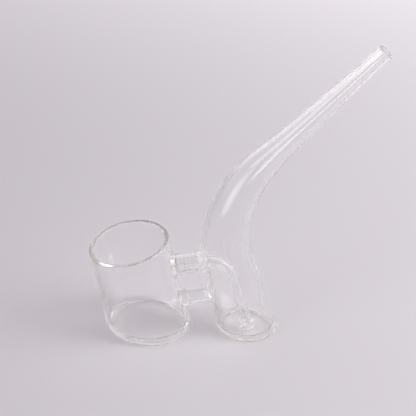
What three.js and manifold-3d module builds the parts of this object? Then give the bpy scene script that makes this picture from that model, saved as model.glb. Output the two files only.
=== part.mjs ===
// A clear glass bubbler attachment, blown from borosilicate tube and standing on its own feet.
//
// An open cup takes a cylindrical hand-held device. A short bridge tube leads from an air port in the
// cup's wall to the water chamber, where a bent downstem carries the air down to a perforated bulb just
// above the floor. The chamber is drawn out and bent into a long mouth stem. A solid brace rod below
// the bridge stiffens the pair. Cup and chamber both lean away from the mouth, and their feet are
// ground level with each other. Millimetres, +Z up, +X towards the mouth, everything built about y = 0.

import * as THREE from 'three';
import * as BufferGeometryUtils from 'three/addons/utils/BufferGeometryUtils.js';
import Module from 'manifold-3d';

// ---- driving dimensions ----

const SEAM = 0.3; // space left where two pieces meet

const CUP_RADIUS = 21;
const CUP_WALL = 2.3;
const CUP_LENGTH = 51.7; // along the leaning axis, from the foot to the rim
const CUP_LEAN = -13.7; // degrees from upright, negative towards -X
const CUP_FLOOR = 2.2;
const FOOT_CORNER = 1.3; // rounding of both feet's outer edge
const CUP_SPREAD = 1.4; // how far the soft foot was pressed out towards +X on its far side
const CHAMBER_SPREAD = 1.0;
const SPREAD_FULL = 2; // height up to which the spread is full
const SPREAD_GONE = 9; // height at which it has faded out

const CHAMBER_X = 52.1; // foot centre to foot centre
const CHAMBER_LEAN = -17.2;
const CHAMBER_FLOOR = 1.5;
const CHAMBER_RUN = 39.2; // straight part, measured along the axis
const BEND_RUN = 64;
const BEND_TURN = 54; // degrees, towards the mouth
const EASE_RUN = 12.4; // the bend fades out along this
const EASE_TURN = 2.8;
const STEM_RUN = 73.6;
const AXIS_LENGTH = CHAMBER_RUN + BEND_RUN + EASE_RUN + STEM_RUN;
// outer radius and wall at places along the chamber and stem's common axis
const DRAWN_AT = [0, 39, 72, 103, 116, 150, 182, AXIS_LENGTH];
const DRAWN_RADIUS = [14.8, 13.3, 11.3, 8.6, 7.0, 5.3, 4.15, 4.4];
const DRAWN_WALL = [2.4, 2.2, 2.1, 2.0, 1.9, 1.8, 1.75, 2.0];
const LEVEL_RUN = 30; // the chamber's cross-section turns from level to square over this height
const CHAMBER_TOP = 62; // where the chamber gives way to the bend
const BEND_TOP = 118; // where the bend gives way to the mouth stem
const STEM_TOP = 152; // where the mouth stem gives way to its narrow end

const BRIDGE_RADIUS = 4.9; // at the chamber
const BRIDGE_ROOT = 5.6; // where the flare starts
const BRIDGE_BORE = 3.6;
const BRIDGE_AT = new THREE.Vector3(21.7, 0, 39.4);
const BRIDGE_RISE = 11; // degrees above level, towards the mouth
const FLARE_RADIUS = 7.4;
const FLARE_RUN = 4.6;
const FLARE_SINK = 3; // how far the flare reaches back around the cup's side before it is cut to fit
const COLLAR_RADIUS = 6.9;
const COLLAR_RUN = 1.5;

const BRACE_RADIUS = 3.45;
const BRACE_AT = new THREE.Vector3(25.7, 0, 18.2);
const BRACE_RISE = 14.5;
const BRACE_BEAD_RADIUS = 4.5;
const CUP_BEAD_RUN = 2.6;
const CHAMBER_BEAD_RUN = 1.5;

const DOWNSTEM_RADIUS = 2.9;
const DOWNSTEM_BORE = 1.7;
const ELBOW = new THREE.Vector3(39.4, 0, 39.6); // where the downstem's two straight legs would meet
const ELBOW_RUN = 8; // its bend starts and ends this far from there
const BULB_RADIUS = 3.9;
const BULB_WALL = 0.9;
const BULB_CENTRE = new THREE.Vector3(51.8, -5.0, 5.9);
const BULB_HOLES = 6;
const BULB_HOLE_RADIUS = 0.65;

const CUP_SIDES = 48;
const CHAMBER_SIDES = 36;
const SMALL_SIDES = 24;
const BULB_SIDES = 18;
const HOLE_SIDES = 8;

// ---- directions and axes ----

const UP = new THREE.Vector3(0, 1, 0); // the axis that a turned shape is made about
const SIDE = new THREE.Vector3(0, 1, 0);
const radians = THREE.MathUtils.degToRad;

// unit vector in the plane y = 0, by its angle from upright towards +X
function heading(degrees) {
  return new THREE.Vector3(Math.sin(radians(degrees)), 0, Math.cos(radians(degrees)));
}

// a place on an axis: its centre and the direction in which the axis runs there
function straightAxis(start, direction) {
  return (distance) => ({
    centre: start.clone().addScaledVector(direction, distance),
    tangent: direction,
  });
}

// the chamber and stem's common axis: straight, bend, easing, straight
function drawnAxis(distance) {
  const legs = [
    [CHAMBER_RUN, 0],
    [BEND_RUN, BEND_TURN],
    [EASE_RUN, EASE_TURN],
    [Infinity, 0],
  ];
  const centre = new THREE.Vector3(CHAMBER_X, 0, 0);
  let angle = CHAMBER_LEAN;
  let left = distance;
  for (const [run, turn] of legs) {
    const step = Math.min(left, run);
    const turned = turn * (step / run);
    const half = radians(turned / 2);
    const chord = half === 0 ? step : step * (Math.sin(half) / half);
    centre.addScaledVector(heading(angle + turned / 2), chord);
    angle += turned;
    left -= step;
    if (left === 0) break;
  }
  return { centre, tangent: heading(angle) };
}

const drawnRadius = new THREE.CubicInterpolant(DRAWN_AT, DRAWN_RADIUS, 1);
const drawnWall = new THREE.CubicInterpolant(DRAWN_AT, DRAWN_WALL, 1);
const outerRadius = (distance) => drawnRadius.evaluate(THREE.MathUtils.clamp(distance, 0, AXIS_LENGTH))[0];
const wallAt = (distance) => drawnWall.evaluate(THREE.MathUtils.clamp(distance, 0, AXIS_LENGTH))[0];

// ---- solids ----

// one round of points about an axis; level 0 is square to the axis and 1 is horizontal
function ring(place, radius, level, sides) {
  const across = new THREE.Vector3().crossVectors(SIDE, place.tangent);
  return Array.from({ length: sides }, (_, i) => {
    const turn = (2 * Math.PI * i) / sides;
    const out = SIDE.clone().multiplyScalar(Math.cos(turn)).addScaledVector(across, Math.sin(turn));
    const slide = -level * radius * (out.z / place.tangent.z);
    return place.centre.clone().addScaledVector(out, radius).addScaledVector(place.tangent, slide);
  });
}

// moves a leaning tube's points near the floor out towards +X
function pressed(points, axis, radius, spread) {
  const { tangent } = axis(0);
  return points.map((point) => {
    const share = 1 - THREE.MathUtils.smoothstep(point.z, SPREAD_FULL, SPREAD_GONE);
    const across = (point.x - axis(point.z / tangent.z).centre.x) / radius;
    return point.clone().setX(point.x + (spread * share * (1 + across)) / 2);
  });
}

// a closed body through rings: a loop of rings is a tube wall, otherwise both ends are filled in
function loft(rings, loop) {
  const sides = rings[0].length;
  const points = rings.flat();
  const index = [];
  const spans = loop ? rings.length : rings.length - 1;
  for (let j = 0; j < spans; j += 1) {
    for (let i = 0; i < sides; i += 1) {
      const a = j * sides + i;
      const b = j * sides + ((i + 1) % sides);
      const c = ((j + 1) % rings.length) * sides + ((i + 1) % sides);
      const d = ((j + 1) % rings.length) * sides + i;
      index.push(a, b, c, a, c, d);
    }
  }
  if (!loop) {
    for (const [first, flip] of [[0, true], [(rings.length - 1) * sides, false]]) {
      const middle = new THREE.Vector3();
      for (let i = 0; i < sides; i += 1) middle.addScaledVector(points[first + i], 1 / sides);
      points.push(middle);
      for (let i = 0; i < sides; i += 1) {
        const a = first + i;
        const b = first + ((i + 1) % sides);
        index.push(...(flip ? [b, a, points.length - 1] : [a, b, points.length - 1]));
      }
    }
  }
  const geometry = new THREE.BufferGeometry().setFromPoints(points);
  geometry.setIndex(index);
  return facingOut(geometry);
}

// turns a closed body's faces outwards if its outline was drawn the other way round
function facingOut(geometry) {
  const place = geometry.attributes.position;
  const index = Array.from(geometry.index.array);
  const corner = (i) => new THREE.Vector3().fromBufferAttribute(place, index[i]);
  let volume = 0;
  for (let i = 0; i < index.length; i += 3) {
    volume += corner(i).dot(corner(i + 1).cross(corner(i + 2)));
  }
  if (volume < 0) geometry.setIndex(index.reverse());
  return geometry;
}

// a shape turned about an axis that starts at a point; outline points are (radius, distance along)
function turned(outline, start, direction, sides) {
  const geometry = new THREE.LatheGeometry(outline.map(([r, h]) => new THREE.Vector2(r, h)), sides);
  geometry.applyQuaternion(new THREE.Quaternion().setFromUnitVectors(UP, direction));
  return facingOut(geometry.translate(start.x, start.y, start.z));
}

// points on a quarter or half round, from one angle to another, in degrees
function arc(x, y, radius, from, to, steps) {
  return Array.from({ length: steps + 1 }, (_, i) => {
    const angle = radians(from + ((to - from) * i) / steps);
    return [x + radius * Math.cos(angle), y + radius * Math.sin(angle)];
  });
}

const wasm = await Module();
wasm.setup();

function solidOf(geometry) {
  const bare = geometry.clone();
  bare.deleteAttribute('normal');
  bare.deleteAttribute('uv');
  const merged = BufferGeometryUtils.mergeVertices(bare, 1e-4);
  return new wasm.Manifold(new wasm.Mesh({
    numProp: 3,
    vertProperties: new Float32Array(merged.attributes.position.array),
    triVerts: new Uint32Array(merged.index.array),
  }));
}

function cut(geometry, ...tools) {
  const body = tools.reduce((rest, tool) => rest.subtract(solidOf(tool)), solidOf(geometry));
  const mesh = body.getMesh();
  const result = new THREE.BufferGeometry();
  result.setAttribute('position', new THREE.BufferAttribute(mesh.vertProperties, 3));
  result.setIndex(new THREE.BufferAttribute(mesh.triVerts, 1));
  return result;
}

// ---- materials ----

const glass = (color, roughness) => new THREE.MeshStandardMaterial({
  color,
  roughness,
  metalness: 0,
  transparent: true,
  opacity: 0.35,
});
const CLEAR_TUBE = glass(0xe9eef0, 0.04);
const THICK_FLOOR = glass(0xdde9ea, 0.05);
const WELD_GLASS = glass(0xf0f0e6, 0.12);

const groups = { cup: new THREE.Group(), link: new THREE.Group(), chamber: new THREE.Group() };

function add(group, name, geometry, material) {
  const mesh = new THREE.Mesh(geometry, material);
  mesh.name = name;
  groups[group].add(mesh);
}

// ---- the shared surfaces that neighbours are cut back from ----

const cupAxis = straightAxis(new THREE.Vector3(0, 0, 0), heading(CUP_LEAN));
const bridgeDirection = heading(90 - BRIDGE_RISE);
const braceDirection = heading(90 - BRACE_RISE);

function cupFilled() {
  const ends = [-5, CUP_LENGTH + 5];
  return loft(ends.map((h) => ring(cupAxis(h), CUP_RADIUS + SEAM, 0, CUP_SIDES)), false);
}

function chamberFilled() {
  const steps = 12;
  const places = Array.from({ length: steps + 1 }, (_, i) => (CHAMBER_TOP * i) / steps);
  return loft(
    places.map((s) => ring(drawnAxis(s), outerRadius(s) + SEAM, 0, CHAMBER_SIDES)),
    false,
  );
}

// distance from a point to a body's outer wall along a direction, found by halving
function reach(start, direction, inside) {
  let [near, far] = [0, 30];
  for (let i = 0; i < 40; i += 1) {
    const middle = (near + far) / 2;
    if (inside(start.clone().addScaledVector(direction, middle))) far = middle;
    else near = middle;
  }
  return near;
}

function insideCup(point) {
  const off = point.clone().cross(heading(CUP_LEAN));
  return off.length() < CUP_RADIUS;
}

function insideChamber(point) {
  for (let s = 0; s <= CHAMBER_TOP; s += 0.5) {
    const place = drawnAxis(s);
    const away = point.clone().sub(place.centre);
    if (Math.abs(away.dot(place.tangent)) < 0.5 && away.length() < outerRadius(s)) return true;
  }
  return false;
}

function span(at, direction) {
  const toCup = reach(at, direction.clone().negate(), insideCup);
  const toChamber = reach(at, direction, insideChamber);
  return { cup: at.clone().addScaledVector(direction, -toCup), length: toCup + toChamber };
}

const bridge = span(BRIDGE_AT, bridgeDirection);
const brace = span(BRACE_AT, braceDirection);

// the downstem runs from the bridge's far end to an elbow and drops from there to the bulb
const bridgeEnd = bridge.cup.clone().addScaledVector(bridgeDirection, bridge.length);
const entry = ELBOW.clone().sub(bridgeEnd).normalize();
const drop = BULB_CENTRE.clone().sub(ELBOW).normalize();

// ---- cup ----

const CUP_LEVELS = [3, 4.5, 6, 8, 10, 26]; // places along the wall that have a ring of points

function cupWall() {
  const inner = CUP_RADIUS - CUP_WALL;
  const lip = CUP_WALL / 2;
  const outline = [
    [inner, 0],
    ...arc(CUP_RADIUS - FOOT_CORNER, FOOT_CORNER, FOOT_CORNER, -90, 0, 4),
    ...CUP_LEVELS.map((h) => [CUP_RADIUS, h]),
    ...arc(CUP_RADIUS - lip, CUP_LENGTH - lip, lip, 0, 180, 6),
    ...CUP_LEVELS.map((h) => [inner, h]).reverse(),
  ];
  const rings = outline.map(([r, h]) => {
    const round = ring(cupAxis(h), r, 1 - h / CUP_LENGTH, CUP_SIDES);
    return pressed(round, cupAxis, CUP_RADIUS, CUP_SPREAD);
  });
  const port = turned(
    [[0, -8], [BRIDGE_BORE, -8], [BRIDGE_BORE, 4], [0, 4]],
    bridge.cup,
    bridgeDirection,
    SMALL_SIDES,
  );
  return cut(loft(rings, true), port);
}

// a disc fused flush into a leaning tube's foot, pressed out with it
function floorDisc(axis, radius, thickness, sides, footRadius, spread) {
  const edge = 0.7;
  const outline = [[radius, 0], [radius, thickness - edge], [radius - edge, thickness]];
  const rise = axis(0).tangent.z;
  const rings = outline.map(([r, h]) => ring(axis(h / rise), r, 1, sides));
  return loft(rings.map((round) => pressed(round, axis, footRadius, spread)), false);
}

add('cup', 'cup_wall', cupWall(), CLEAR_TUBE);
add(
  'cup',
  'cup_floor',
  floorDisc(
    cupAxis,
    CUP_RADIUS - CUP_WALL - SEAM,
    CUP_FLOOR,
    CUP_SIDES,
    CUP_RADIUS,
    CUP_SPREAD,
  ),
  THICK_FLOOR,
);

// ---- chamber, bend and mouth stem ----

const chamberAxis = straightAxis(new THREE.Vector3(CHAMBER_X, 0, 0), heading(CHAMBER_LEAN));

// a tube wall along the drawn axis, with its own outlines at the two ends
function drawnTube(from, to, steps, sides, startOutline, endOutline) {
  const places = Array.from({ length: steps + 1 }, (_, i) => from + ((to - from) * i) / steps);
  const outside = places.map((s) => [outerRadius(s), s]);
  const inside = places.map((s) => [outerRadius(s) - wallAt(s), s]).reverse();
  const outline = [...startOutline, ...outside, ...endOutline, ...inside];
  const rings = outline.map(([r, s]) => {
    const round = ring(drawnAxis(s), r, Math.max(0, 1 - s / LEVEL_RUN), sides);
    return s < CHAMBER_RUN ? pressed(round, chamberAxis, outerRadius(0), CHAMBER_SPREAD) : round;
  });
  return loft(rings, true);
}

function chamberWall() {
  const base = outerRadius(0);
  const foot = [
    [base - wallAt(0), 0],
    ...arc(base - FOOT_CORNER, FOOT_CORNER, FOOT_CORNER, -90, -15, 3),
  ];
  const tube = drawnTube(FOOT_CORNER, CHAMBER_TOP, 24, CHAMBER_SIDES, foot, []);
  const port = turned(
    [[0, -6], [DOWNSTEM_RADIUS + SEAM, -6], [DOWNSTEM_RADIUS + SEAM, 8], [0, 8]],
    bridgeEnd,
    entry,
    SMALL_SIDES,
  );
  return cut(tube, port);
}

function mouthEnd() {
  const lip = wallAt(AXIS_LENGTH) / 2;
  const end = AXIS_LENGTH - lip;
  const round = arc(outerRadius(end) - lip, end, lip, 15, 165, 5);
  return drawnTube(STEM_TOP + SEAM, end, 5, SMALL_SIDES, [], round);
}

add('chamber', 'chamber_wall', chamberWall(), CLEAR_TUBE);
add(
  'chamber',
  'chamber_floor',
  floorDisc(
    chamberAxis,
    outerRadius(0) - wallAt(0) - SEAM,
    CHAMBER_FLOOR,
    CHAMBER_SIDES,
    outerRadius(0),
    CHAMBER_SPREAD,
  ),
  THICK_FLOOR,
);
add(
  'chamber',
  'neck_bend',
  drawnTube(CHAMBER_TOP + SEAM, BEND_TOP, 10, CHAMBER_SIDES, [], []),
  CLEAR_TUBE,
);
add(
  'chamber',
  'mouth_stem',
  drawnTube(BEND_TOP + SEAM, STEM_TOP, 5, SMALL_SIDES, [], []),
  CLEAR_TUBE,
);
add('chamber', 'mouth_end', mouthEnd(), CLEAR_TUBE);

// ---- bridge tube and its two welds ----

// the tube's end opened out like a trumpet onto the cup
function bridgeFlare() {
  const spread = FLARE_RADIUS - BRIDGE_ROOT;
  const root = -FLARE_SINK;
  const curve = arc(0, 0, 1, -90, -180, 5).map(([across, up]) => [
    FLARE_RADIUS + spread * across,
    FLARE_RUN + (FLARE_RUN + FLARE_SINK / 2) * up,
  ]);
  const outline = [
    [BRIDGE_BORE, root],
    [FLARE_RADIUS, root],
    ...curve,
    [BRIDGE_BORE, FLARE_RUN],
    [BRIDGE_BORE, root],
  ];
  return cut(turned(outline, bridge.cup, bridgeDirection, SMALL_SIDES), cupFilled());
}

function bridgeCollar() {
  const start = bridge.length - COLLAR_RUN;
  const outline = [
    [BRIDGE_BORE, start],
    [BRIDGE_RADIUS, start],
    [COLLAR_RADIUS - 0.6, start + 0.5],
    [COLLAR_RADIUS, start + 1.5],
    [COLLAR_RADIUS, bridge.length + 3],
    [BRIDGE_BORE, bridge.length + 3],
    [BRIDGE_BORE, start],
  ];
  return cut(turned(outline, bridge.cup, bridgeDirection, SMALL_SIDES), chamberFilled());
}

function bridgeTube() {
  const start = FLARE_RUN + SEAM;
  const end = bridge.length - COLLAR_RUN - SEAM;
  const outline = [
    [BRIDGE_BORE, start],
    [BRIDGE_ROOT, start],
    [BRIDGE_RADIUS, end],
    [BRIDGE_BORE, end],
    [BRIDGE_BORE, start],
  ];
  return turned(outline, bridge.cup, bridgeDirection, SMALL_SIDES);
}

add('link', 'bridge_weld_cup', bridgeFlare(), WELD_GLASS);
add('link', 'bridge_tube', bridgeTube(), CLEAR_TUBE);
add('link', 'bridge_weld_chamber', bridgeCollar(), WELD_GLASS);

// ---- brace rod and its two beads ----

function braceBead(from, to, neighbour) {
  const crown = 0.5;
  const outline = [
    [0, from],
    [BRACE_BEAD_RADIUS - crown, from],
    [BRACE_BEAD_RADIUS, from + crown],
    [BRACE_BEAD_RADIUS, to - crown],
    [BRACE_BEAD_RADIUS - crown, to],
    [0, to],
  ];
  return cut(turned(outline, brace.cup, braceDirection, SMALL_SIDES), neighbour);
}

function braceRod() {
  const start = CUP_BEAD_RUN + SEAM;
  const end = brace.length - CHAMBER_BEAD_RUN - SEAM;
  const outline = [[0, start], [BRACE_RADIUS, start], [BRACE_RADIUS, end], [0, end]];
  return turned(outline, brace.cup, braceDirection, SMALL_SIDES);
}

add('link', 'brace_weld_cup', braceBead(-3, CUP_BEAD_RUN, cupFilled()), WELD_GLASS);
add('link', 'brace_rod', braceRod(), CLEAR_TUBE);
add(
  'link',
  'brace_weld_chamber',
  braceBead(brace.length - CHAMBER_BEAD_RUN, brace.length + 3, chamberFilled()),
  WELD_GLASS,
);

// ---- downstem and bulb ----

function downstem() {
  const root = bridgeEnd.clone().addScaledVector(entry, SEAM);
  const bendStart = ELBOW.clone().addScaledVector(entry, -ELBOW_RUN);
  const bendEnd = ELBOW.clone().addScaledVector(drop, ELBOW_RUN);
  const seat = Math.sqrt(BULB_RADIUS ** 2 - DOWNSTEM_RADIUS ** 2) + SEAM;
  const route = new THREE.CurvePath();
  route.add(new THREE.LineCurve3(root, bendStart));
  route.add(new THREE.QuadraticBezierCurve3(bendStart, ELBOW, bendEnd));
  route.add(new THREE.LineCurve3(bendEnd, BULB_CENTRE.clone().addScaledVector(drop, -seat)));
  const section = new THREE.Shape().absarc(0, 0, DOWNSTEM_RADIUS, 0, 2 * Math.PI);
  section.holes.push(new THREE.Path().absarc(0, 0, DOWNSTEM_BORE, 0, 2 * Math.PI));
  return new THREE.ExtrudeGeometry(section, { steps: 18, curveSegments: 7, extrudePath: route });
}

function bulb() {
  const neck = THREE.MathUtils.radToDeg(Math.asin(DOWNSTEM_RADIUS / BULB_RADIUS));
  const inner = BULB_RADIUS - BULB_WALL;
  const mouth = THREE.MathUtils.radToDeg(Math.asin(DOWNSTEM_BORE / inner));
  const top = BULB_RADIUS * Math.cos(radians(neck));
  const outline = [
    ...arc(0, 0, BULB_RADIUS, 90, -90 + neck, 7).map(([r, h]) => [Math.max(r, 0), h]),
    [DOWNSTEM_BORE, -top],
    ...arc(0, 0, inner, -90 + mouth, 90, 6).map(([r, h]) => [Math.max(r, 0), h]),
  ];
  outline[0][0] = 0;
  outline[outline.length - 1][0] = 0;
  const shell = turned(outline, BULB_CENTRE, drop, BULB_SIDES);
  const sideways = new THREE.Vector3().crossVectors(drop, SIDE).normalize();
  const holes = Array.from({ length: BULB_HOLES }, (_, i) => {
    const out = sideways.clone().applyAxisAngle(drop, (2 * Math.PI * (i + 0.5)) / BULB_HOLES);
    const reachOut = BULB_RADIUS + 1;
    return turned(
      [[0, 1], [BULB_HOLE_RADIUS, 1], [BULB_HOLE_RADIUS, reachOut], [0, reachOut]],
      BULB_CENTRE,
      out,
      HOLE_SIDES,
    );
  });
  return cut(shell, ...holes);
}

add('chamber', 'downstem', downstem(), CLEAR_TUBE);
add('chamber', 'diffuser_bulb', bulb(), WELD_GLASS);

// ---- the whole, with its origin under the middle of its box ----

const bubbler = new THREE.Group();
bubbler.add(groups.cup, groups.link, groups.chamber);
const box = new THREE.Box3().setFromObject(bubbler);
bubbler.position.x = -(box.min.x + box.max.x) / 2;

export default bubbler;
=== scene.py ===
"""Looks of a clear glass bubbler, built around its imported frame. Metres, +Z up."""

import math

import bpy
import numpy as np
from mathutils import Matrix, Vector, noise


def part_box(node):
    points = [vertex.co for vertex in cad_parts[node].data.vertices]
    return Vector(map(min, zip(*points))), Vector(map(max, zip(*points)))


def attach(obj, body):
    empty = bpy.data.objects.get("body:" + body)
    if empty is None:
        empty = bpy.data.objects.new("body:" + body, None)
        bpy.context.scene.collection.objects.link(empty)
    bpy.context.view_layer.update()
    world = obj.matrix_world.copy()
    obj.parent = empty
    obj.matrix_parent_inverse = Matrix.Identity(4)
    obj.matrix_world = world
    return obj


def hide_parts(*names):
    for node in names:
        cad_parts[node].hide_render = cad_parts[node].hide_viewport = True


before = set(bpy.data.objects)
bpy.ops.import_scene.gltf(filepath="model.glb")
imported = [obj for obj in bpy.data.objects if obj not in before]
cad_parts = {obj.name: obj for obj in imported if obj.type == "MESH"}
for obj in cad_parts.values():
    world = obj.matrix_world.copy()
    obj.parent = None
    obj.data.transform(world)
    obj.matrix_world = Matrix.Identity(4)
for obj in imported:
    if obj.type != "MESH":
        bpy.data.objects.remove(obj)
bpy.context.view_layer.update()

MM = 0.001

# ---- sizes, in millimetres unless a name says otherwise ----

CUP_LEAN = -13.7  # degrees from upright, negative towards -X
CUP_LENGTH = 51.7
CUP_WALL = 2.3
CUP_FLOOR = 2.2
CHAMBER_LEAN = -17.2
CHAMBER_WALL_AT_FOOT = 2.4
CHAMBER_FLOOR = 1.5
FOOT_CORNER = 1.3
INNER_FILLET = 2.6
FOOT_HOLLOW = 0.35
CUP_FOOT_SPREAD, CHAMBER_FOOT_SPREAD = 1.4, 1.0  # how far the pressed feet reach out towards +X
SPREAD_FROM, SPREAD_TO = 2.0, 9.0  # heights between which that spread fades out

CHAMBER_RUN = 39.2
BEND_RUN, BEND_TURN = 64.0, 54.0
EASE_RUN, EASE_TURN = 12.4, 2.8
STEM_RUN = 73.6
AXIS_LENGTH = CHAMBER_RUN + BEND_RUN + EASE_RUN + STEM_RUN
DRAWN_AT = (0, 39, 72, 103, 116, 150, 182, AXIS_LENGTH)
DRAWN_RADIUS = (14.8, 13.3, 11.3, 8.6, 7.0, 5.3, 4.15, 4.4)
DRAWN_WALL = (2.4, 2.2, 2.1, 2.0, 1.9, 1.8, 1.75, 2.0)
LEVEL_RUN = 30.0

BRIDGE_RADIUS, BRIDGE_ROOT, BRIDGE_BORE = 4.9, 5.6, 3.6  # at the chamber, at the flare, inside
BRIDGE_Z, BRIDGE_OFFSET, BRIDGE_RISE = 39.4, 21.7, 11.0
BRIDGE_RIPPLES, RIPPLE_HEIGHT = 5, 0.16  # faint rings left in the tube when it was worked
FLARE_RADIUS, FLARE_RUN = 7.4, 4.6
SEAL_RADIUS, SEAL_RUN = 6.6, 2.3
# a drip drawn up from the seal: height, half-width in radians, thickness
DRIP_RISE, DRIP_TURN, DRIP_RUN = 5.6, 0.17, 1.9
CRINKLE_PITCH, CRINKLE_DEPTH = 1.5, 0.75  # bumps per millimetre, and their height

BRACE_RADIUS, BRACE_BEAD_RADIUS = 3.45, 4.5
BRACE_Z, BRACE_OFFSET, BRACE_RISE = 18.2, 25.7, 14.5
CUP_BEAD_RUN, CHAMBER_BEAD_RUN = 2.6, 1.5

DOWNSTEM_RADIUS, DOWNSTEM_BORE = 2.9, 1.7
DOWNSTEM_SINK = 2.3  # how far inside the chamber's outer wall it starts
DOWNSTEM_FLARE, FLARE_FADE = 0.75, 1.2  # its widened root, and how fast that fades along it
ELBOW_OFFSET, ELBOW_Z, ELBOW_RUN = 39.4, 39.6, 8  # from the cup's foot, and how far the bend reaches
PORT_CLEARANCE = 0.4  # between the downstem's bore and the hole in the chamber's wall
BULB_RADIUS, BULB_WALL = 3.9, 0.9
BULB_HOLES, BULB_HOLE_RADIUS = 6, 0.65

FOOT_LAND = 2.2  # width of the ring that a foot stands on
CUP_UNEVEN, DRAWN_UNEVEN = 0.035, 0.012  # size of the hand-made unevenness in the tubes
JOINT_GAP = 0.02  # between fused pieces, far too small to see
SIDES = 144
SMALL_SIDES = 72


# ---- places read from the frame ----

def foot_centre(node, lean, foot_radius, spread):
    """x of a leaning foot's centre on the floor, in millimetres, from its disc's box."""
    low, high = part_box(node)
    reach_x = (high.y - low.y) / 2 / MM / math.cos(math.radians(lean))
    return high.x / MM - reach_x - spread * (0.5 + 0.5 * reach_x / foot_radius)


cup_low, cup_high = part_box("cup_wall")
CUP_RADIUS = (cup_high.y - cup_low.y) / 2 / MM
CUP_X = foot_centre("cup_floor", CUP_LEAN, CUP_RADIUS, CUP_FOOT_SPREAD)
CHAMBER_X = foot_centre("chamber_floor", CHAMBER_LEAN, DRAWN_RADIUS[0], CHAMBER_FOOT_SPREAD)
bulb_low, bulb_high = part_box("diffuser_bulb")
BULB_CENTRE = np.array((bulb_low + bulb_high) / 2) / MM


# ---- geometry helpers: points are numpy rows, in millimetres ----

def heading(degrees):
    """Unit vector in the plane y = 0, by its angle from upright towards +X."""
    angle = math.radians(degrees)
    return np.array([math.sin(angle), 0.0, math.cos(angle)])


def drawn_place(distance):
    """Centre and heading, in degrees, of the chamber and stem's axis at a distance along it."""
    centre = np.array([CHAMBER_X, 0.0, 0.0])
    angle, left = CHAMBER_LEAN, distance
    for run, turn in ((CHAMBER_RUN, 0), (BEND_RUN, BEND_TURN), (EASE_RUN, EASE_TURN), (1e9, 0)):
        step = min(left, run)
        turned = turn * step / run
        half = math.radians(turned / 2)
        chord = step if half == 0 else step * math.sin(half) / half
        centre = centre + heading(angle + turned / 2) * chord
        angle += turned
        left -= step
        if left <= 0:
            break
    return centre, angle


def smooth_through(xs, ys, x):
    """A smooth curve through given points, with no overshoot between them."""
    xs, ys, x = (np.asarray(v, float) for v in (xs, ys, x))
    slope = np.diff(ys) / np.diff(xs)
    tangent = np.concatenate([[slope[0]], (slope[1:] + slope[:-1]) / 2, [slope[-1]]])
    turning = slope[1:] * slope[:-1] <= 0
    tangent[1:-1][turning] = 0
    i = np.clip(np.searchsorted(xs, x) - 1, 0, len(xs) - 2)
    width = xs[i + 1] - xs[i]
    t = np.clip((x - xs[i]) / width, 0, 1)
    return (
        (2 * t**3 - 3 * t**2 + 1) * ys[i]
        + (t**3 - 2 * t**2 + t) * width * tangent[i]
        + (3 * t**2 - 2 * t**3) * ys[i + 1]
        + (t**3 - t**2) * width * tangent[i + 1]
    )


def outer_radius(s):
    return smooth_through(DRAWN_AT, DRAWN_RADIUS, np.clip(s, 0, AXIS_LENGTH))


def wall_at(s):
    return smooth_through(DRAWN_AT, DRAWN_WALL, np.clip(s, 0, AXIS_LENGTH))


def smoothstep(t):
    t = np.clip(t, 0, 1)
    return t * t * (3 - 2 * t)


def turns(sides):
    return np.linspace(0, 2 * math.pi, sides, endpoint=False)


def ring(centre, tangent, radius, level, sides):
    """A round of points about an axis; level 0 is square to the axis and 1 is horizontal."""
    side = np.array([0.0, 1.0, 0.0])
    across = np.cross(side, tangent)
    angle = turns(sides)
    out = np.cos(angle)[:, None] * side + np.sin(angle)[:, None] * across
    slide = -level * radius * out[:, 2] / tangent[2] if level else np.zeros(sides)
    reach = np.broadcast_to(radius, (sides,))
    return centre + out * reach[:, None] + tangent * slide[:, None]


def press_foot(points, foot_x, lean, radius, spread):
    """Moves the part of a leaning tube that is near the floor out towards +X, as it was pressed flat."""
    height = points[:, 2]
    share = 1 - smoothstep((height - SPREAD_FROM) / (SPREAD_TO - SPREAD_FROM))
    middle = foot_x + height * math.tan(math.radians(lean))
    across = (points[:, 0] - middle) / radius
    moved = points.copy()
    moved[:, 0] += spread * share * (0.5 + 0.5 * across)
    return moved


def arc(x, y, radius, start, end, steps):
    angle = np.radians(np.linspace(start, end, steps + 1))
    return [(x + radius * math.cos(a), y + radius * math.sin(a)) for a in angle]


def line(start, end, steps):
    """Points from start up to but not including end."""
    return [
        tuple(np.array(start) + (np.array(end) - np.array(start)) * i / steps)
        for i in range(steps)
    ]


def wobble(angle, along, seed, size):
    """Slow hand-made unevenness, inwards only and the same every run."""
    rng = np.random.default_rng(seed)
    total = np.zeros_like(angle)
    for lobes in (1, 2, 3, 5):
        phase, pitch = rng.uniform(0, 2 * math.pi), rng.uniform(0.04, 0.11)
        total = total + (np.sin(lobes * angle + phase + pitch * along) - 1) / lobes
    return total * size


def mesh_piece(name, points, faces, sharp=40):
    """A smooth-shaded mesh object from points in millimetres."""
    mesh = bpy.data.meshes.new(name)
    mesh.from_pydata((np.asarray(points) * MM).tolist(), [], faces)
    mesh.validate()
    mesh.update()
    piece = bpy.data.objects.new(name, mesh)
    bpy.context.scene.collection.objects.link(piece)
    mesh.shade_smooth()
    mesh.set_sharp_from_angle(angle=math.radians(sharp))
    return piece


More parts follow.
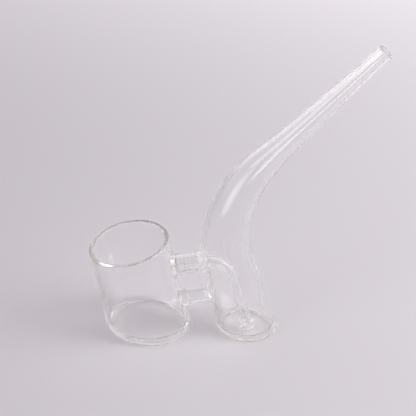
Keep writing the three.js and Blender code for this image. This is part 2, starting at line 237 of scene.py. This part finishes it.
def loft(name, rings, loop=False, sharp=40):
    """A closed piece through rings: a loop is a tube wall, otherwise each end is a fan."""
    rings = np.asarray(rings)
    count, sides = rings.shape[:2]
    points = rings.reshape(-1, 3)
    j, i = np.meshgrid(np.arange(count if loop else count - 1), np.arange(sides), indexing="ij")
    k, up = (i + 1) % sides, (j + 1) % count
    quads = np.stack([j * sides + i, j * sides + k, up * sides + k, up * sides + i], -1)
    faces = quads.reshape(-1, 4).tolist()
    if not loop:
        last = (count - 1) * sides
        points = np.vstack([points, rings[0].mean(0), rings[-1].mean(0)])
        base = count * sides
        faces += [[(n + 1) % sides, n, base] for n in range(sides)]
        faces += [[last + n, last + (n + 1) % sides, base + 1] for n in range(sides)]
    piece = mesh_piece(name, points, faces, sharp)
    face_out(piece)
    return piece


def face_out(piece):
    """Turns a closed mesh's faces outwards."""
    mesh = piece.data
    mesh.calc_loop_triangles()
    corners = np.array([[mesh.vertices[v].co for v in t.vertices] for t in mesh.loop_triangles])
    volume = np.einsum("ij,ij->i", corners[:, 0], np.cross(corners[:, 1], corners[:, 2])).sum()
    if volume < 0:
        mesh.flip_normals()


def bore(piece, start, direction, radius, length):
    """Drills a round hole through a piece."""
    rings = [ring(start + direction * h, direction, radius, 0, 64) for h in (0, length)]
    drill = loft("drill", rings)
    cutter = piece.modifiers.new("port", "BOOLEAN")
    cutter.operation = "DIFFERENCE"
    cutter.solver = "EXACT"
    cutter.object = drill
    graph = bpy.context.evaluated_depsgraph_get()
    result = bpy.data.meshes.new_from_object(piece.evaluated_get(graph))
    piece.modifiers.clear()
    piece.data = result
    bpy.data.objects.remove(drill)
    result.shade_smooth()
    result.set_sharp_from_angle(angle=math.radians(40))


# ---- how far it is to a wall ----

AXIS_STEPS = np.linspace(10, 60, 201)
AXIS_POINTS = np.array([drawn_place(s)[0] for s in AXIS_STEPS])
AXIS_RADII = outer_radius(AXIS_STEPS)


def off_cup(points):
    """Distance of points from the cup's outer wall, positive outside."""
    away = points - np.array([CUP_X, 0, 0])
    along = away @ heading(CUP_LEAN)
    return np.linalg.norm(away - along[:, None] * heading(CUP_LEAN), axis=1) - CUP_RADIUS


def off_chamber(points, inset=0.0):
    """Distance of points from the chamber's outer wall, or from one set in from it."""
    gaps = np.linalg.norm(points[:, None] - AXIS_POINTS[None], axis=2)
    nearest = gaps.argmin(1)
    return gaps[np.arange(len(points)), nearest] - AXIS_RADII[nearest] + inset


def reach(points, direction, off):
    """How far each point has to go along a direction to meet a wall, from outside it."""
    gone = np.zeros(len(points))
    for _ in range(25):
        gone = gone + off(points + direction * gone[:, None])
    return gone


class Link:
    """A tube or rod between cup and chamber: distances run along it from the cup's wall."""

    def __init__(self, offset, z, rise):
        self.direction = heading(90 - rise)
        middle = np.array([[CUP_X + offset, 0.0, z]])
        to_cup = reach(middle, -self.direction, off_cup)[0]
        to_chamber = reach(middle, self.direction, off_chamber)[0]
        self.start = middle[0] - self.direction * to_cup
        self.length = to_cup + to_chamber

    def round(self, radius, along, sides=SMALL_SIDES):
        return ring(self.start + self.direction * along, self.direction, radius, 0, sides)

    def cup_rim(self, radius, sides=SMALL_SIDES):
        """The round of that radius, laid onto the cup's outer wall."""
        points = self.round(radius, 6, sides)
        return points - self.direction * (reach(points, -self.direction, off_cup) - JOINT_GAP)[:, None]

    def chamber_rim(self, radius, sides=SMALL_SIDES, inset=0.0):
        """The round of that radius, laid onto the chamber's wall."""
        points = self.round(radius, self.length - 6, sides)
        far = reach(points, self.direction, lambda p: off_chamber(p, inset))
        return points + self.direction * (far - JOINT_GAP)[:, None]


bridge = Link(BRIDGE_OFFSET, BRIDGE_Z, BRIDGE_RISE)
brace = Link(BRACE_OFFSET, BRACE_Z, BRACE_RISE)


# ---- materials ----

def glass(name, tint, density, ripple_size, ripple_depth):
    """Polished clear glass with a depth tint and faint ripples that refract."""
    material = bpy.data.materials.new(name)
    material.use_nodes = True
    nodes, links = material.node_tree.nodes, material.node_tree.links
    shader = nodes["Principled BSDF"]
    shader.inputs["IOR"].default_value = 1.474
    shader.inputs["Transmission Weight"].default_value = 1.0
    shader.inputs["Base Color"].default_value = (1, 1, 1, 1)
    shader.inputs["Roughness"].default_value = 0.0
    where = nodes.new("ShaderNodeTexCoord")
    stretch = nodes.new("ShaderNodeMapping")
    stretch.inputs["Scale"].default_value = ripple_size
    links.new(where.outputs["Object"], stretch.inputs["Vector"])
    ripple = nodes.new("ShaderNodeTexNoise")
    ripple.inputs["Scale"].default_value = 1.0
    ripple.inputs["Detail"].default_value = 2.0
    links.new(stretch.outputs["Vector"], ripple.inputs["Vector"])
    bump = nodes.new("ShaderNodeBump")
    bump.inputs["Strength"].default_value = 1.0
    bump.inputs["Distance"].default_value = ripple_depth * MM
    links.new(ripple.outputs["Fac"], bump.inputs["Height"])
    links.new(bump.outputs["Normal"], shader.inputs["Normal"])
    depth = nodes.new("ShaderNodeVolumeAbsorption")
    depth.inputs["Color"].default_value = (*tint, 1)
    depth.inputs["Density"].default_value = density
    links.new(depth.outputs["Volume"], nodes["Material Output"].inputs["Volume"])
    return material


CLEAR = glass("clear_tube_glass", (0.9, 0.88, 0.78), 3.5, (60, 60, 25), 0.012)
WELD = glass("weld_glass", (0.9, 0.88, 0.74), 6, (260, 260, 260), 0.05)


def finish_piece(piece, material, slot, *nodes):
    piece.data.materials.clear()
    piece.data.materials.append(material)
    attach(piece, "root")
    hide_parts(*nodes)
    return piece


# ---- cup ----

def foot_outline(radius, corner):
    """Underside of a foot: a shallow hollow, the ring that it stands on and a rounded corner."""
    land = radius - corner - FOOT_LAND
    hollow = [
        (land * t, FOOT_HOLLOW * (1 - smoothstep((t - 0.55) / 0.45)))
        for t in np.linspace(0.03, 1, 24)
    ]
    return hollow + line((land + 0.2, 0), (radius - corner, 0), 3) + arc(
        radius - corner, corner, corner, -90, 0, 8
    )


def floor_outline(radius, height):
    """Inside of a floor: a hollow fillet up to the wall and a nearly flat middle."""
    corner = arc(radius - INNER_FILLET, height + INNER_FILLET, INNER_FILLET, 0, -90, 8)
    edge = radius - INNER_FILLET
    return corner + [(edge * t, height) for t in np.linspace(0.94, 0.03, 22)]


def make_cup():
    inner, lip = CUP_RADIUS - CUP_WALL, CUP_WALL / 2
    outline = foot_outline(CUP_RADIUS, FOOT_CORNER)
    outline += line((CUP_RADIUS, FOOT_CORNER + 0.5), (CUP_RADIUS, CUP_LENGTH - lip), 60)
    outline += arc(CUP_RADIUS - lip, CUP_LENGTH - lip, lip, 0, 180, 16)
    outline += line((inner, CUP_LENGTH - lip - 0.5), (inner, CUP_FLOOR + INNER_FILLET), 60)
    outline += floor_outline(inner, CUP_FLOOR)
    axis, foot = heading(CUP_LEAN), np.array([CUP_X, 0.0, 0.0])
    rings = []
    for n, (radius, height) in enumerate(outline):
        uneven = wobble(turns(SIDES), height, 3 if n < len(outline) / 2 else 4, CUP_UNEVEN)
        share = smoothstep((height - 3) / 12) * smoothstep((radius - 10) / 6)
        level = 1 - smoothstep((height - 4) / (CUP_LENGTH - 6))
        points = ring(foot + axis * height, axis, radius + uneven * share, level, SIDES)
        rings.append(press_foot(points, CUP_X, CUP_LEAN, CUP_RADIUS, CUP_FOOT_SPREAD))
    cup = loft("cup_vessel", rings)
    bore(cup, bridge.start - bridge.direction * 6, bridge.direction, BRIDGE_BORE, 9)
    return finish_piece(cup, CLEAR, "clear_tube", "cup_wall", "cup_floor")


# ---- chamber, bend and mouth stem ----

def make_chamber():
    base, lip = DRAWN_RADIUS[0], DRAWN_WALL[-1] / 2
    end = AXIS_LENGTH - lip
    up = np.linspace(FOOT_CORNER + 0.5, end - 0.5, 150)
    down = np.linspace(end - 0.5, CHAMBER_FLOOR + INNER_FILLET + 0.4, 150)
    outline = foot_outline(base, FOOT_CORNER)
    outline += list(zip(outer_radius(up), up))
    tip = float(outer_radius(end)) - lip
    outline += arc(tip, end, lip, 0, 180, 14)
    outline += list(zip(outer_radius(down) - wall_at(down), down))
    outline += floor_outline(base - CHAMBER_WALL_AT_FOOT, CHAMBER_FLOOR)
    rings = []
    for n, (radius, s) in enumerate(outline):
        centre, angle = drawn_place(s)
        uneven = wobble(turns(SIDES), s, 5 if n < len(outline) / 2 else 6, DRAWN_UNEVEN)
        share = smoothstep((s - 3) / 12) * smoothstep((radius - 1) / 4)
        level = 1 - smoothstep(s / LEVEL_RUN)
        points = ring(centre, heading(angle), radius + uneven * share, level, SIDES)
        rings.append(press_foot(points, CHAMBER_X, CHAMBER_LEAN, base, CHAMBER_FOOT_SPREAD))
    chamber = loft("chamber_and_stem", rings)
    start = bridge.start + bridge.direction * (bridge.length - 4)
    bore(chamber, start, bridge.direction, DOWNSTEM_BORE + PORT_CLEARANCE, 9)
    return finish_piece(
        chamber,
        CLEAR,
        "clear_tube",
        "chamber_wall",
        "chamber_floor",
        "neck_bend",
        "mouth_stem",
        "mouth_end",
    )


# ---- bridge ----

def make_bridge():
    """The bridge tube, its end opened out like a trumpet onto the cup."""
    rings = [bridge.cup_rim(BRIDGE_BORE), bridge.cup_rim((BRIDGE_BORE + FLARE_RADIUS) / 2)]
    for t in np.linspace(0, 1, 22):
        radius = BRIDGE_ROOT + (FLARE_RADIUS - BRIDGE_ROOT) * (1 - math.sqrt(1 - (1 - t) ** 2))
        lie = bridge.cup_rim(radius)
        straight = bridge.round(radius, FLARE_RUN * t)
        thickness = bridge.direction * 0.25 * min(t * 8, 1)
        rings.append(lie + (straight - lie) * smoothstep(t * 1.15) + thickness)
    near, far = bridge.round(1, FLARE_RUN), bridge.chamber_rim(BRIDGE_RADIUS)
    for t in np.linspace(0.01, 1, 90):
        ripple = math.sin(2 * math.pi * BRIDGE_RIPPLES * t**0.85) * math.sin(math.pi * t) ** 0.5
        radius = BRIDGE_ROOT + (BRIDGE_RADIUS - BRIDGE_ROOT) * smoothstep(t)
        radius = radius + RIPPLE_HEIGHT * (ripple - 1) * (t < 1)
        along = (near + (far - near) * t - bridge.start) @ bridge.direction
        out = bridge.round(1, 0) - bridge.start
        rings.append(bridge.start + out * radius + bridge.direction * along[:, None])
    bore_far, bore_near = bridge.chamber_rim(BRIDGE_BORE), bridge.cup_rim(BRIDGE_BORE)
    for t in np.linspace(0, 0.96, 30):
        rings.append(bore_far + (bore_near - bore_far) * t)
    tube = loft("bridge_tube_flared", rings, loop=True)
    return finish_piece(tube, CLEAR, "clear_tube", "bridge_tube", "bridge_weld_cup")


def rim_at(link, radii):
    """A round whose radius changes around it, laid onto the chamber's wall."""
    points = ring(link.start + link.direction * (link.length - 6), link.direction, radii, 0, len(radii))
    far = reach(points, link.direction, off_chamber)
    return points + link.direction * (far - JOINT_GAP)[:, None]


def crinkle(points):
    """Sharp small folds, as in glass that was pinched while soft, between 0 and 1."""
    return np.array([
        min(1.0, abs(noise.noise(Vector(p * CRINKLE_PITCH))) * 1.6
            + abs(noise.noise(Vector(p * CRINKLE_PITCH * 2.1))) * 0.7)
        for p in points
    ])


def make_ring_seal():
    """The crinkled bead where the bridge is sealed into the chamber's wall, with its drawn-up drip."""
    sides, steps, rings = 280, 44, []
    inner = BRIDGE_RADIUS + 0.06
    from_top = np.angle(np.exp(1j * (turns(sides) + math.pi / 2)))
    drip = np.exp(-np.abs(from_top / DRIP_TURN) ** 2.4)
    for t in np.linspace(0, 1, steps):
        radius = inner + (SEAL_RADIUS + DRIP_RISE * drip - inner) * (1 - math.cos(math.pi * t)) / 2
        dome = math.sin(math.pi * t) ** 0.6
        back = (SEAL_RUN + (DRIP_RUN - SEAL_RUN) * drip) * dome
        points = rim_at(bridge, radius)
        fold = crinkle(points) * CRINKLE_DEPTH * min(1.0, 2 * dome)
        axis_out = points - bridge.start
        axis_out -= (axis_out @ bridge.direction)[:, None] * bridge.direction
        axis_out /= np.linalg.norm(axis_out, axis=1)[:, None]
        rise = bridge.direction * np.maximum(back - fold, 0)[:, None]
        rings.append(points - rise - axis_out * (fold * t)[:, None])
    for t in np.linspace(0.75, 0.25, 3):
        rings.append(rim_at(bridge, inner + (SEAL_RADIUS + DRIP_RISE * drip - inner) * t))
    seal = loft("bridge_ring_seal", rings, loop=True, sharp=80)
    return finish_piece(seal, WELD, "weld_glass", "bridge_weld_chamber")


# ---- brace ----

def bead_rings(rim, flat):
    """A flattened bead between a wall and a rod's end."""
    rings = []
    for t in np.linspace(0.05, 1, 8):
        rings.append(rim(BRACE_BEAD_RADIUS * 0.9 * t))
    for t in np.linspace(0, 1, 15):
        radius = BRACE_BEAD_RADIUS * (0.9 + 0.1 * math.sin(math.pi * t))
        rings.append(rim(radius) * (1 - t) + flat(radius) * t)
    for t in np.linspace(0.95, 0.05, 8):
        rings.append(flat(BRACE_BEAD_RADIUS * 0.9 * t))
    return rings


def make_brace():
    cup_bead = loft(
        "brace_bead_cup", bead_rings(brace.cup_rim, lambda r: brace.round(r, CUP_BEAD_RUN))
    )
    finish_piece(cup_bead, WELD, "weld_glass", "brace_weld_cup")
    end = brace.length - CHAMBER_BEAD_RUN
    chamber_bead = loft(
        "brace_bead_chamber", bead_rings(brace.chamber_rim, lambda r: brace.round(r, end))
    )
    finish_piece(chamber_bead, WELD, "weld_glass", "brace_weld_chamber")
    start, stop = CUP_BEAD_RUN + JOINT_GAP, end - JOINT_GAP
    rings = [brace.round(BRACE_RADIUS * t, start) for t in np.linspace(0.05, 0.97, 6)]
    for t in np.linspace(0, 1, 30):
        waist = 1 + 0.1 * (2 * t - 1) ** 8 - 0.03 * math.sin(math.pi * t)
        rings.append(brace.round(BRACE_RADIUS * waist, start + (stop - start) * t))
    rings += [brace.round(BRACE_RADIUS * t, stop) for t in np.linspace(0.97, 0.05, 6)]
    rod = loft("brace_rod_solid", rings)
    finish_piece(rod, CLEAR, "clear_tube", "brace_rod")


# ---- downstem and bulb ----

def make_downstem():
    root = bridge.start + bridge.direction * (bridge.length + DOWNSTEM_SINK)
    elbow = np.array([CUP_X + ELBOW_OFFSET, 0.0, ELBOW_Z])
    entry = (elbow - root) / np.linalg.norm(elbow - root)
    drop = (BULB_CENTRE - elbow) / np.linalg.norm(BULB_CENTRE - elbow)
    seat = math.sqrt(BULB_RADIUS**2 - DOWNSTEM_RADIUS**2)
    start, end = elbow - entry * ELBOW_RUN, elbow + drop * ELBOW_RUN
    last = BULB_CENTRE - drop * (seat + JOINT_GAP)
    route = [root + (start - root) * t for t in np.linspace(0, 0.9, 8)]
    route += [
        start * (1 - t) ** 2 + elbow * 2 * t * (1 - t) + end * t**2 for t in np.linspace(0, 1, 40)
    ]
    route += [end + (last - end) * t for t in np.linspace(0.05, 1, 24)]
    route = np.array(route)
    tangent = np.gradient(route, axis=0)
    tangent /= np.linalg.norm(tangent, axis=1)[:, None]
    gone = np.concatenate([[0], np.cumsum(np.linalg.norm(np.diff(route, axis=0), axis=1))])
    flare = DOWNSTEM_FLARE * np.exp(-gone / FLARE_FADE)
    outside = [ring(p, t, DOWNSTEM_RADIUS + f, 0, SMALL_SIDES) for p, t, f in zip(route, tangent, flare)]
    inside = [ring(p, t, DOWNSTEM_BORE, 0, SMALL_SIDES) for p, t in zip(route, tangent)]
    stem = loft("downstem_tube", outside + inside[::-1], loop=True)
    finish_piece(stem, CLEAR, "clear_tube", "downstem")
    return drop


def make_bulb(drop):
    neck = math.degrees(math.asin(DOWNSTEM_RADIUS / BULB_RADIUS))
    inner = BULB_RADIUS - BULB_WALL
    mouth = math.degrees(math.asin(DOWNSTEM_BORE / inner))
    outline = arc(0, 0, BULB_RADIUS, 88, -90 + neck, 40) + arc(0, 0, inner, -90 + mouth, 88, 34)
    rings = [ring(BULB_CENTRE + drop * h, drop, max(r, 0.05), 0, SMALL_SIDES) for r, h in outline]
    bulb = loft("diffuser_ball", rings)
    side = np.cross(drop, [0.0, 1.0, 0.0])
    side /= np.linalg.norm(side)
    other = np.cross(drop, side)
    for n in range(BULB_HOLES):
        turn = 2 * math.pi * (n + 0.5) / BULB_HOLES
        bore(bulb, BULB_CENTRE, side * math.cos(turn) + other * math.sin(turn), BULB_HOLE_RADIUS, 6)
    finish_piece(bulb, WELD, "weld_glass", "diffuser_bulb")


# ---- floor, light and camera ----

def plain(name, color, roughness):
    material = bpy.data.materials.new(name)
    material.use_nodes = True
    shader = material.node_tree.nodes["Principled BSDF"]
    shader.inputs["Base Color"].default_value = (*color, 1)
    shader.inputs["Roughness"].default_value = roughness
    return material


def make_stage():
    size = 3000
    floor = mesh_piece(
        "studio_floor",
        [(-size, -size, -0.05), (size, -size, -0.05), (size, size, -0.05), (-size, size, -0.05)],
        [(0, 1, 2, 3)],
    )
    floor.data.materials.append(plain("pale_floor", (0.79, 0.765, 0.79), 0.6))


def make_world():
    """Soft surroundings: brighter at the back and to the right, darker behind the camera."""
    world = bpy.data.worlds.new("studio")
    world.use_nodes = True
    nodes, links = world.node_tree.nodes, world.node_tree.links
    where = nodes.new("ShaderNodeTexCoord")

    def lobe(toward, start, end, low, high):
        along = nodes.new("ShaderNodeVectorMath")
        along.operation = "DOT_PRODUCT"
        along.inputs[1].default_value = Vector(toward).normalized()
        links.new(where.outputs["Generated"], along.inputs[0])
        fade = nodes.new("ShaderNodeMapRange")
        fade.interpolation_type = "SMOOTHSTEP"
        for name, value in (("From Min", start), ("From Max", end), ("To Min", low), ("To Max", high)):
            fade.inputs[name].default_value = value
        links.new(along.outputs["Value"], fade.inputs["Value"])
        return fade.outputs["Result"]

    def times(one, other):
        product = nodes.new("ShaderNodeMath")
        product.operation = "MULTIPLY"
        links.new(one, product.inputs[0])
        links.new(other, product.inputs[1])
        return product.outputs["Value"]

    sky = lobe((0, 0, 1), 0.1, 0.8, 0.7, 0.46)
    sky = times(sky, lobe((0, 1, 0), -0.6, 0.6, 0.905, 1.24))
    sky = times(sky, lobe((-0.52, -0.85, 0.1), 0.9, 0.985, 1.0, 0.3))
    sky = times(sky, lobe((0.2, -0.8, 0.55), 0.75, 0.95, 1.0, 0.2))
    background = nodes["Background"]
    background.inputs["Color"].default_value = (1.0, 0.95, 1.0, 1)
    links.new(sky, background.inputs["Strength"])
    bpy.context.scene.world = world


def softbox(name, azimuth, distance, height, aim, width, tall, power, spread=180):
    """A soft light: azimuth is 0 along +Y and 90 along +X; lengths are in metres."""
    data = bpy.data.lights.new(name, "AREA")
    data.shape = "RECTANGLE"
    data.size, data.size_y = width, tall
    data.energy = power
    data.spread = math.radians(spread)
    lamp = bpy.data.objects.new(name, data)
    turn = math.radians(azimuth)
    place = Vector((math.sin(turn) * distance, math.cos(turn) * distance, height))
    lamp.location = place
    lamp.rotation_mode = "QUATERNION"
    lamp.rotation_quaternion = (place - Vector(aim)).to_track_quat("Z", "Y")
    lamp.visible_camera = False
    bpy.context.scene.collection.objects.link(lamp)


def make_lights():
    softbox("high_right", 92, 0.7, 0.85, (0.2, 0.35, 0), 0.6, 0.6, 3.2)
    softbox("back_wash", 12, 1.3, 1.7, (0.27, 1.27, 0), 1.1, 1.1, 8.5, 45)
    softbox("side_right", 96, 0.6, 0.4, (0.0, 0, 0.05), 0.5, 0.5, 1.2)
    softbox("strip_front_left", -131, 0.33, 0.16, (0, 0, 0.16), 0.22, 0.34, 0.05, 50)
    softbox("strip_high_left", -123, 0.5, 0.37, (0.06, 0, 0.13), 0.26, 0.13, 0.02, 50)
    softbox("strip_behind", -171.5, 0.95, 0.05, (0, 0, 0.12), 0.32, 0.1, 0.02, 50)


CAMERA_AZIMUTH, CAMERA_ELEVATION, CAMERA_ROLL = -4.65, 32.41, 4.63
CAMERA_FROM_CUP = (-24.87, -636.18, 477.95)
CAMERA_LENS = 129.8


def make_camera():
    azimuth, elevation, roll = (
        math.radians(v) for v in (CAMERA_AZIMUTH, CAMERA_ELEVATION, CAMERA_ROLL)
    )
    ahead = Vector((-math.sin(azimuth), math.cos(azimuth), 0))
    level = Vector((math.cos(azimuth), math.sin(azimuth), 0))
    forward = ahead * math.cos(elevation) - Vector((0, 0, 1)) * math.sin(elevation)
    upward = ahead * math.sin(elevation) + Vector((0, 0, 1)) * math.cos(elevation)
    right = level * math.cos(roll) + upward * math.sin(roll)
    top = upward * math.cos(roll) - level * math.sin(roll)
    data = bpy.data.cameras.new("camera")
    data.lens, data.sensor_width = CAMERA_LENS, 36
    data.clip_start, data.clip_end = 0.01, 50
    camera = bpy.data.objects.new("camera", data)
    turn = Matrix((right, top, -forward)).transposed()
    place = Vector(CAMERA_FROM_CUP) + Vector((CUP_X, 0, 0))
    camera.matrix_world = Matrix.Translation(place * MM) @ turn.to_4x4()
    bpy.context.scene.collection.objects.link(camera)
    bpy.context.scene.camera = camera


def set_look():
    scene = bpy.context.scene
    scene.view_settings.view_transform = "Standard"
    scene.view_settings.look = "None"
    scene.cycles.max_bounces = 128
    scene.cycles.transmission_bounces = 128
    scene.cycles.glossy_bounces = 128
    scene.cycles.blur_glossy = 0.0
    scene.cycles.use_adaptive_sampling = False


make_cup()
make_chamber()
make_bridge()
make_ring_seal()
make_brace()
make_bulb(make_downstem())
make_stage()
make_world()
make_lights()
make_camera()
set_look()
